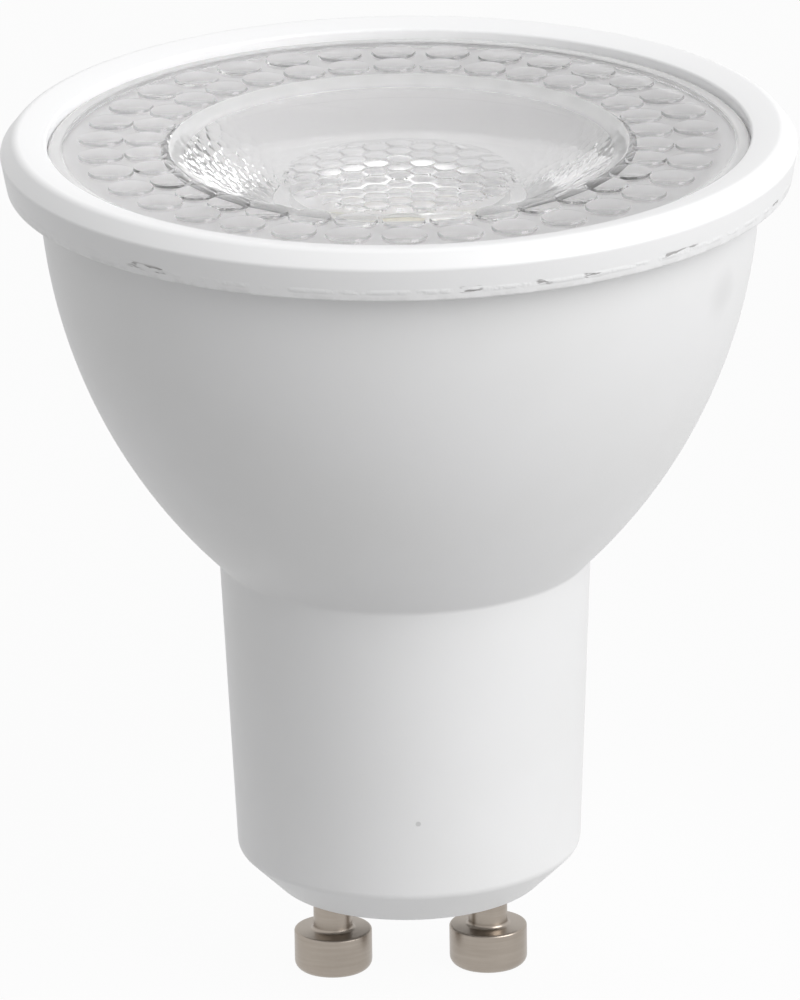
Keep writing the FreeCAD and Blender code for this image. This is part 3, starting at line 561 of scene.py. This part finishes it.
def turnRound(build, outline, segments, centre=(0.0, 0.0)):
    # Outline points in millimetres, turned about the upright line through centre. The last ring
    # joins the first unless the outline ends on the axis.
    rings = []
    for radius, height in outline:
        count = 1 if radius < 1e-6 else segments
        rings.append([build.verts.new((
            (centre[0] + radius * math.cos(fullTurn * step / segments)) * mm,
            (centre[1] + radius * math.sin(fullTurn * step / segments)) * mm,
            height * mm)) for step in range(count)])
    pairs = list(zip(rings, rings[1:]))
    if len(rings[0]) > 1 and len(rings[-1]) > 1:
        pairs.append((rings[-1], rings[0]))
    for low, high in pairs:
        for step in range(segments):
            ahead = (step + 1) % segments
            if len(low) == 1 and len(high) == 1:
                break
            if len(low) == 1:
                build.faces.new((low[0], high[ahead], high[step]))
            elif len(high) == 1:
                build.faces.new((low[step], low[ahead], high[0]))
            else:
                build.faces.new((low[step], low[ahead], high[ahead], high[step]))


# The moulded body, millimetres.
shell = {
    "baseHeight": 6.3,
    "floorTop": 8.1,
    "footRadius": 8.5,
    "footTop": 8.75,
    "neckLow": 11.0,
    "neckTop": 11.85,
    "crease": 28.3,
    "bellTop": 54.0,
    "mouthRadius": 22.8,
    "mouthTop": 54.4,
    "wall": 1.3,
    "bead": 0.3,
    "pinHole": 1.35,
    "footRound": 0.5,
    "neckRound": 0.8,
    "creaseRound": 0.5,
    "drillPast": 1.0,
    "drillSegments": 48,
    "outerSteps": 44,
    "innerSteps": 30,
    "segments": 288,
}


def makeShell():
    print("shell: turned profile with its wall, pin holes cut")
    s = shell
    flare, rise = s["mouthRadius"] - s["neckTop"], s["bellTop"] - s["crease"]
    arc = (flare ** 2 + rise ** 2) / (2 * flare)
    innerArc = arc - s["wall"]
    innerNeck = s["neckTop"] - s["wall"]
    reach = innerNeck - (s["mouthRadius"] - arc)
    innerCrease = s["bellTop"] - math.sqrt(innerArc ** 2 - reach ** 2)
    mouthInside = s["mouthRadius"] - s["wall"]
    bellFoot, bellMouth = (s["neckTop"], s["crease"]), (s["mouthRadius"], s["bellTop"])
    corners = [
        (0.0, s["baseHeight"]),
        (s["footRadius"], s["baseHeight"], s["footRound"]),
        (s["neckLow"], s["footTop"], s["neckRound"]),
        (s["neckTop"], s["crease"], s["creaseRound"]),
        *sweep(bellFoot, bellMouth, arc, True, s["outerSteps"]),
        (s["mouthRadius"], s["bellTop"] - s["bead"]),
        (s["mouthRadius"] + s["bead"], s["bellTop"]),
        (s["mouthRadius"], s["bellTop"] + s["bead"]),
        (s["mouthRadius"], s["mouthTop"]),
        (mouthInside, s["mouthTop"]),
        (mouthInside, s["bellTop"]),
        *sweep((mouthInside, s["bellTop"]), (innerNeck, innerCrease), innerArc, False,
               s["innerSteps"]),
        (innerNeck, innerCrease),
        (s["neckLow"] - s["wall"], s["footTop"] + s["wall"] / 2),
        (s["footRadius"] - s["wall"] / 2, s["floorTop"]),
        (0.0, s["floorTop"]),
    ]
    build = bmesh.new()
    turnRound(build, eased(corners), s["segments"])
    piece = finishMesh("shell_body", build)
    cutter = bmesh.new()
    low, high = s["baseHeight"] - s["drillPast"], s["floorTop"] + s["drillPast"]
    hole = [(0.0, low), (s["pinHole"], low), (s["pinHole"], high), (0.0, high)]
    for side in (-1, 1):
        turnRound(cutter, hole, s["drillSegments"], (side * pin["pitch"] / 2, 0.0))
    drill = finishMesh("pinDrill", cutter)
    cut = piece.modifiers.new("pinHoles", "BOOLEAN")
    cut.operation = "DIFFERENCE"
    cut.solver = "EXACT"
    cut.object = drill
    plain = applied(piece)
    bpy.data.objects.remove(drill)
    plain.materials.clear()
    plain.materials.append(shellFinish())
    plain.set_sharp_from_angle(angle=math.radians(sharpAngle["plain"]))
    ready(piece, "white_shell", "housing")


def applied(piece):
    # Turns what the modifiers give into the piece's own mesh.
    depsgraph = bpy.context.evaluated_depsgraph_get()
    mesh = bpy.data.meshes.new_from_object(piece.evaluated_get(depsgraph),
                                           preserve_all_data_layers=True, depsgraph=depsgraph)
    piece.modifiers.clear()
    piece.data = mesh
    return mesh


def ready(piece, slot, *nodes):
    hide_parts(*nodes)
    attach(piece, "root")


# The snap-on ring, millimetres.
ring = {
    "bore": 22.9,
    "bottom": 53.34,
    "lowRadius": 24.8,
    "radius": 25.2,
    "sideTop": 55.5,
    "crownRadius": 24.3,
    "crown": 56.6,
    "inner": 22.25,
    "lipTop": 56.2,
    "lipBottom": 55.4,
    "groove": 0.4,
    "grooveHeight": 54.0,
    "edgeRound": 0.2,
    "sideRound": 0.3,
    "crownRound": 0.6,
    "roundSteps": 8,
    "segments": 384,
}


def makeRing():
    print("ring: snap-on trim ring")
    r = ring
    corners = [
        (r["bore"], r["bottom"]),
        (r["lowRadius"], r["bottom"], r["edgeRound"]),
        (r["radius"], r["sideTop"], r["sideRound"]),
        (r["crownRadius"], r["crown"], r["crownRound"]),
        (r["inner"], r["lipTop"], r["edgeRound"]),
        (r["inner"], r["lipBottom"]),
        (r["bore"], r["lipBottom"]),
        (r["bore"], r["grooveHeight"] + r["groove"]),
        (r["bore"] + r["groove"], r["grooveHeight"]),
        (r["bore"], r["grooveHeight"] - r["groove"]),
    ]
    build = bmesh.new()
    turnRound(build, eased(corners, r["roundSteps"]), r["segments"])
    ready(finishMesh("rim_ring", build, ringFinish()), "white_ring", "trim_ring")


# The two pins, millimetres, and their metal.
pin = {
    "pitch": 10.0,
    "headRadius": 2.5,
    "headHeight": 2.7,
    "neckRadius": 1.25,
    "rivetLow": 8.7,
    "rivetTop": 9.3,
    "rivetRadius": 1.7,
    "headRound": 0.6,
    "shoulderRound": 0.15,
    "neckRound": 0.25,
    "segments": 128,
    "dark": (0.29, 0.25, 0.21, 1.0),
    "light": (0.47, 0.42, 0.37, 1.0),
    "roughness": 0.24,
}


def makePins():
    print("pins: two turned contact pins")
    p = pin
    metal = metalFinish("satinNickel", p["dark"], p["light"], p["roughness"])
    corners = [
        (0.0, 0.0),
        (p["headRadius"], 0.0, p["headRound"]),
        (p["headRadius"], p["headHeight"], p["shoulderRound"]),
        (p["neckRadius"], p["headHeight"], p["neckRound"]),
        (p["neckRadius"], p["rivetLow"]),
        (p["rivetRadius"], p["rivetLow"]),
        (p["neckRadius"], p["rivetTop"]),
        (0.0, p["rivetTop"]),
    ]
    for name, side in (("left", -1), ("right", 1)):
        build = bmesh.new()
        turnRound(build, eased(corners), p["segments"], (side * p["pitch"] / 2, 0.0))
        ready(finishMesh(f"turned_pin_{name}", build, metal), "nickel_pin", f"contact_pin_{name}")


# The clear moulding, millimetres.
lens = {
    "top": 55.65,
    "landRadius": 22.15,
    "landRound": 0.2,
    "flangeTop": 55.35,
    "flangeLow": 54.42,
    "flangeRadius": 22.8,
    "seatRadius": 21.35,
    "annulusLow": 54.15,
    "bowlRadius": 14.5,
    "bowlDisc": 7.4,
    "discHeight": 53.4,
    "bowlArc": 11.0,
    "coneTop": 15.1,
    "coneLow": 8.6,
    "coneLowHeight": 46.4,
    "coneArc": 34.0,
    "wellMouth": 7.3,
    "wellTop": 6.7,
    "wellSide": 49.6,
    "wellCrown": 0.9,
    "rowSplit": 17.43,
    "innerRing": 16.05,
    "innerRadius": 1.36,
    "outerRing": 18.89,
    "outerRadius": 1.44,
    "lensletStep": 0.16,
    "lensletHeight": 0.06,
    "stepRun": 0.05,
    "lensletCount": 34,
    "turn": 3.6,
    "cellSteps": 16,
    "domeRings": 7,
    "dotPitch": 1.71,
    "dotRadius": 0.81,
    "dotStep": 0.1,
    "dotHeight": 0.12,
    "dotSteps": 8,
    "dotReach": 7.05,
    "dotTurn": 27.5,
    "landSteps": 5,
    "coneSteps": 14,
    "crownSteps": 6,
    "bowlSteps": 16,
    "merge": 0.001,
}


def capShare(reach, radius, step, height):
    # Height of a shallow cap on a low step at a distance from its middle, as a share of both.
    if reach > radius:
        return 0.0
    ball = (radius ** 2 + height ** 2) / (2 * height)
    return (step + math.sqrt(ball ** 2 - reach ** 2) - ball + height) / (step + height)


def lensletCell(build, rise, lowRadius, highRadius, middle, domeRadius):
    # One round lenslet in its own sector of the flat ring, with meeting edges on all sides.
    l = lens
    half = math.pi / l["lensletCount"]
    corners = [(highRadius, -half), (highRadius, half), (lowRadius, half), (lowRadius, -half)]
    edge = []
    for (radius, angle), (toRadius, toAngle) in zip(corners, corners[1:] + corners[:1]):
        for step in range(l["cellSteps"]):
            share = step / l["cellSteps"]
            edge.append((radius + (toRadius - radius) * share, angle + (toAngle - angle) * share))
    count = len(edge)
    angles = [fullTurn * index / count - math.pi / 4 for index in range(count)]

    def vertex(point, share):
        made = build.verts.new((point[0] * mm, point[1] * mm, l["top"] * mm))
        made[rise] = share
        return made

    def circle(radius):
        return [Vector((middle + radius * math.cos(angle), radius * math.sin(angle)))
                for angle in angles]

    capRadius = domeRadius - l["stepRun"]
    rows = []
    for row in range(l["domeRings"]):
        reach = capRadius * math.sin(math.pi / 2 * (row + 1) / l["domeRings"])
        share = capShare(reach, capRadius, l["lensletStep"], l["lensletHeight"])
        rows.append([vertex(point, share) for point in circle(reach)])
    foot = circle(domeRadius)
    outer = [Vector((radius * math.cos(angle), radius * math.sin(angle)))
             for radius, angle in edge]
    for share in (0.0, 0.5, 1.0):
        rows.append([vertex(near.lerp(far, share), 0.0) for near, far in zip(foot, outer)])
    tip = vertex((middle, 0.0), 1.0)
    for index in range(count):
        ahead = (index + 1) % count
        build.faces.new((tip, rows[0][index], rows[0][ahead]))
        for low, high in zip(rows, rows[1:]):
            build.faces.new((low[index], high[index], high[ahead], low[ahead]))


def lensWedge():
    # One lenslet's share of the moulding: both cells and a strip of the turned outline.
    l = lens
    build = bmesh.new()
    rise = build.verts.layers.float.new("lensletRise")
    step = fullTurn / l["lensletCount"]
    landEdge = l["landRadius"] - l["landRound"]
    lensletCell(build, rise, l["bowlRadius"], l["rowSplit"], l["innerRing"], l["innerRadius"])
    lensletCell(build, rise, l["rowSplit"], landEdge, l["outerRing"], l["outerRadius"])
    crownArc = (l["wellTop"] ** 2 + l["wellCrown"] ** 2) / (2 * l["wellCrown"])
    crown = (0.0, l["wellSide"] + l["wellCrown"])
    cone = (l["coneLow"], l["coneLowHeight"]), (l["coneTop"], l["annulusLow"])
    bowl = (l["bowlRadius"], l["top"]), (l["bowlDisc"], l["discHeight"])
    land = (landEdge, l["top"]), (l["landRadius"], l["top"] - l["landRound"])
    outside = [
        land[0],
        *sweep(*land, l["landRound"], False, l["landSteps"]),
        land[1],
        (l["landRadius"], l["flangeTop"]),
        (l["flangeRadius"], l["flangeTop"]),
        (l["flangeRadius"], l["flangeLow"]),
        (l["seatRadius"], l["flangeLow"]),
        (l["seatRadius"], l["annulusLow"]),
        (l["coneTop"], l["annulusLow"]),
        *reversed(sweep(*cone, l["coneArc"], True, l["coneSteps"])),
        (l["coneLow"], l["coneLowHeight"]),
        (l["wellMouth"], l["coneLowHeight"]),
        (l["wellTop"], l["wellSide"]),
        *reversed(sweep(crown, (l["wellTop"], l["wellSide"]), crownArc, False,
                        l["crownSteps"])),
        crown,
    ]
    inside = [bowl[0], *sweep(*bowl, l["bowlArc"], False, l["bowlSteps"]), bowl[1]]
    for strip in (outside, inside):
        for low, high in zip(strip, strip[1:]):
            for index in range(l["cellSteps"]):
                first, last = [step * ((index + more) / l["cellSteps"] - 0.5) for more in (0, 1)]
                corners = [(low, first), (low, last), (high, last), (high, first)]
                if high[0] < 1e-6:
                    corners.pop()
                build.faces.new([build.verts.new((
                    point[0] * math.cos(angle) * mm, point[0] * math.sin(angle) * mm,
                    point[1] * mm)) for point, angle in corners])
    bmesh.ops.remove_doubles(build, verts=build.verts, dist=l["merge"] * mm)
    return finishMesh("lensWedge", build)


def dotDisc():
    # The bowl's floor: small domes side by side in a hexagonal array inside a plain margin.
    l = lens
    pitch, rowPitch = l["dotPitch"], l["dotPitch"] * math.sqrt(3) / 2
    side = l["dotPitch"] / math.sqrt(3)
    fine = side / l["dotSteps"]
    turned = Matrix.Rotation(math.radians(l["dotTurn"] - l["turn"]), 2)
    spread = int(l["dotReach"] / fine) + 2
    points, shares = [], []
    for row in range(-spread, spread + 1):
        for column in range(-2 * spread, 2 * spread + 1):
            spot = Vector((fine * row * math.sqrt(3) / 2, fine * (column + row / 2)))
            if spot.length > l["dotReach"]:
                continue
            left, low = math.floor(spot[0] / pitch), math.floor(spot[1] / rowPitch)
            near = min((Vector((pitch * (a + 0.5 * (b % 2)), rowPitch * b)) - spot).length
                       for a in (left - 1, left, left + 1) for b in (low, low + 1))
            points.append(turned @ spot)
            shares.append(capShare(near, l["dotRadius"], l["dotStep"], l["dotHeight"]))
    rim = l["lensletCount"] * l["cellSteps"]
    start = len(points)
    for index in range(rim):
        angle = fullTurn * index / rim
        points.append(Vector((math.cos(angle), math.sin(angle))) * l["bowlDisc"])
        shares.append(0.0)
    edges = [(start + index, start + (index + 1) % rim) for index in range(rim)]
    flat, _, faces, origins, _, _ = delaunay_2d_cdt(points, edges, [], 1, 1e-6)
    build = bmesh.new()
    rise = build.verts.layers.float.new("dotRise")
    verts = []
    for point, origin in zip(flat, origins):
        made = build.verts.new((point[0] * mm, point[1] * mm, l["discHeight"] * mm))
        made[rise] = shares[origin[0]]
        verts.append(made)
    for face in faces:
        build.faces.new([verts[index] for index in face])
    return finishMesh("dotDisc", build)


def lensTree():
    # Swells the lenslets, repeats the wedge round the axis and closes it with the disc.
    tree = bpy.data.node_groups.new("lensletRing", "GeometryNodeTree")
    face = tree.interface
    for name, kind in (("Wedge", "NodeSocketGeometry"), ("Disc", "NodeSocketObject"),
                       ("Lenslets", "NodeSocketInt"), ("Lenslet height", "NodeSocketFloat"),
                       ("Dot height", "NodeSocketFloat"), ("Turn", "NodeSocketFloat"),
                       ("Material", "NodeSocketMaterial")):
        face.new_socket(name=name, in_out="INPUT", socket_type=kind)
    face.new_socket(name="Lens", in_out="OUTPUT", socket_type="NodeSocketGeometry")
    steps = Finish(tree)
    given = steps.node("NodeGroupInput")
    count = given["Lenslets"]
    points = steps.node("GeometryNodePoints", **{"Count": count})["Points"]
    spin = steps.node("GeometryNodeInputIndex")["Index"] * fullTurn / count
    turned = steps.node("ShaderNodeCombineXYZ", **{"2": spin})["Vector"]
    copies = steps.node("GeometryNodeInstanceOnPoints", **{
        "Points": points, "Instance": given["Wedge"], "Rotation": turned})["Instances"]
    disc = steps.node("GeometryNodeObjectInfo", **{"Object": given["Disc"]})["Geometry"]
    joint = steps.node("GeometryNodeJoinGeometry")
    tree.links.new(disc.socket, joint.node.inputs[0])
    tree.links.new(copies.socket, joint.node.inputs[0])
    whole = steps.node("GeometryNodeRealizeInstances", **{"Geometry": joint[0]})["Geometry"]
    closed = steps.node("GeometryNodeMergeByDistance", **{
        "Geometry": whole, "Distance": lens["merge"] * mm})["Geometry"]
    rises = [steps.node("GeometryNodeInputNamedAttribute", {"data_type": "FLOAT"},
                        **{"Name": name})["Attribute"] for name in ("lensletRise", "dotRise")]
    lift = rises[0] * given["Lenslet height"] + rises[1] * given["Dot height"]
    upward = steps.node("ShaderNodeCombineXYZ", **{"2": lift})["Vector"]
    swollen = steps.node("GeometryNodeSetPosition", **{
        "Geometry": closed, "Offset": upward})["Geometry"]
    swing = steps.node("ShaderNodeCombineXYZ", **{"2": given["Turn"]})["Vector"]
    placed = steps.node("GeometryNodeTransform", **{
        "Geometry": swollen, "Rotation": swing})["Geometry"]
    plain = steps.node("GeometryNodeRealizeInstances", **{"Geometry": placed})["Geometry"]
    coated = steps.node("GeometryNodeSetMaterial", **{
        "Geometry": plain, "Material": given["Material"]})["Geometry"]
    steps.node("NodeGroupOutput", **{"Lens": coated})
    return tree


def useTree(piece, tree, inputs):
    modifier = piece.modifiers.new(tree.name, "NODES")
    modifier.node_group = tree
    for item in tree.interface.items_tree:
        if item.in_out == "INPUT" and item.name in inputs:
            modifier[item.identifier] = inputs[item.name]
    return applied(piece)


def makeLens():
    print("lens: lenslet rows, bowl, dotted disc and collimator in one closed moulding")
    piece = lensWedge()
    disc = dotDisc()
    mesh = useTree(piece, lensTree(), {
        "Disc": disc,
        "Lenslets": lens["lensletCount"],
        "Lenslet height": (lens["lensletStep"] + lens["lensletHeight"]) * mm,
        "Dot height": (lens["dotStep"] + lens["dotHeight"]) * mm,
        "Turn": math.radians(lens["turn"]),
        "Material": lensFinish(),
    })
    bpy.data.objects.remove(disc)
    build = bmesh.new()
    build.from_mesh(mesh)
    bmesh.ops.recalc_face_normals(build, faces=build.faces)
    build.to_mesh(mesh)
    build.free()
    smoothed(mesh, sharpAngle["lens"])
    piece.name = "ring_lens"
    ready(piece, "clear_lens", "lens")


def coatNodes():
    # Each finish goes on the nodes whose names start with its key.
    print("inside: finishes for the boards and what stands on them")
    coats = {
        "heat_spreader": dullFinish("coatedCup", grey(0.96), grey(0.975), 0.45),
        "thermal_pad": dullFinish("siliconePad", grey(0.42), grey(0.5), 0.6),
        "light_board": boardFinish(),
        "light_chip": chipFinish(),
        "board_screw": metalFinish("platedSteel", grey(0.5), grey(0.68), 0.26),
        "pin_collar": metalFinish("pressedSteel", grey(0.5), grey(0.68), 0.3),
        "pin_wire": metalFinish("tinnedWire", grey(0.6), grey(0.72), 0.25),
        "feed_wire": metalFinish("tinnedFeed", grey(0.6), grey(0.74), 0.2),
        "feed_bushing": dullFinish("naturalSleeve", (0.8, 0.79, 0.73, 1), (0.86, 0.85, 0.8, 1),
                                   0.4),
        "driver_board": dullFinish("greenBoard", (0.03, 0.16, 0.07, 1), (0.05, 0.22, 0.1, 1), 0.3),
        "bulk_capacitor": dullFinish("shrunkSleeve", (0.02, 0.02, 0.03, 1), (0.04, 0.04, 0.06, 1),
                                     0.3),
        "choke_core": dullFinish("ferrite", grey(0.07), grey(0.11), 0.5),
        "choke_winding": metalFinish("lacqueredCopper", (0.5, 0.2, 0.08, 1), (0.7, 0.34, 0.16, 1),
                                     0.25),
        "film_capacitor": dullFinish("filmCase", (0.6, 0.4, 0.04, 1), (0.68, 0.48, 0.07, 1), 0.3),
        "fuse_resistor": dullFinish("bakedCoat", (0.3, 0.42, 0.38, 1), (0.38, 0.5, 0.45, 1), 0.5),
        "flyback_diode": dullFinish("mouldedEpoxy", grey(0.02), grey(0.035), 0.4),
        "bridge_rectifier": dullFinish("mouldedPack", grey(0.02), grey(0.035), 0.42),
        "control_chip": dullFinish("mouldedChip", grey(0.02), grey(0.035), 0.44),
        "small_": dullFinish("chipCeramic", (0.36, 0.3, 0.24, 1), (0.46, 0.4, 0.32, 1), 0.45),
    }
    for name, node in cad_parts.items():
        for start, material in coats.items():
            if name.startswith(start):
                node.data.materials.clear()
                node.data.materials.append(material)


def main():
    scene = bpy.context.scene
    scene.view_settings.view_transform = "Standard"
    scene.cycles.max_bounces = lightSet["bounces"]
    scene.cycles.transmission_bounces = lightSet["bounces"]
    placeCamera(cameraSet)
    studio()
    layFloor()
    makeShell()
    makeRing()
    makePins()
    makeLens()
    coatNodes()


main()
